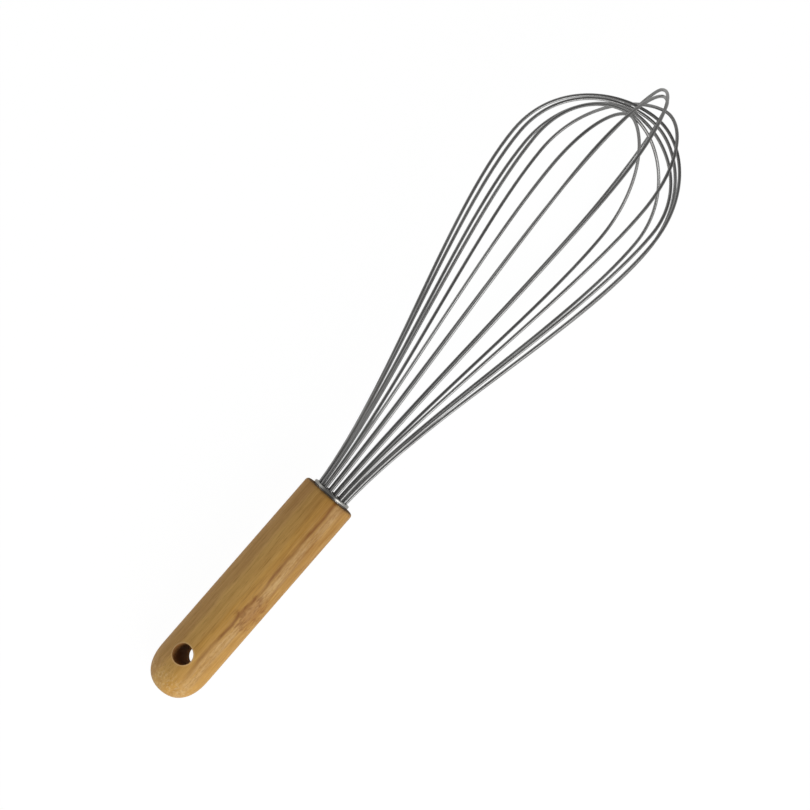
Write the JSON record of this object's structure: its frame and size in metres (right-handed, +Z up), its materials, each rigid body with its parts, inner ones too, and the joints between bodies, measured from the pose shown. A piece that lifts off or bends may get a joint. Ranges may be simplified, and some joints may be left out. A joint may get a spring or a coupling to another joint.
{
  "type": "balloon whisk",
  "caption": "Balloon whisk with a turned bamboo handle, a hanging hole, a flanged steel ferrule and a bulb-shaped cage of nested stainless wire loops, for beating and blending food by hand.",
  "frame": {"origin": "on the table under the middle of the whisk's box, with the whisk lying on the butt of its handle and its two lowest wires", "axes": "+X from the handle to the head, along the table; +Y to the left of someone who looks along +X from above; +Z up"},
  "size_m": [0.3, 0.0704, 0.0682],
  "materials": {
    "bamboo": "sanded bamboo with long grain, oiled to a satin sheen",
    "ferrule_steel": "bright drawn stainless steel",
    "resin": "dark grey cast resin",
    "wire_steel": "satin drawn stainless wire"
  },
  "bodies": {
    "root": {"handle": "bamboo", "ferrule": "ferrule_steel", "core_plug": "resin", "wire_loop_1": "wire_steel", "wire_loop_2": "wire_steel", "wire_loop_3": "wire_steel", "wire_loop_4": "wire_steel", "wire_loop_5": "wire_steel", "wire_loop_6": "wire_steel", "wire_loop_7": "wire_steel", "wire_loop_8": "wire_steel"}
  },
  "joints": []
}
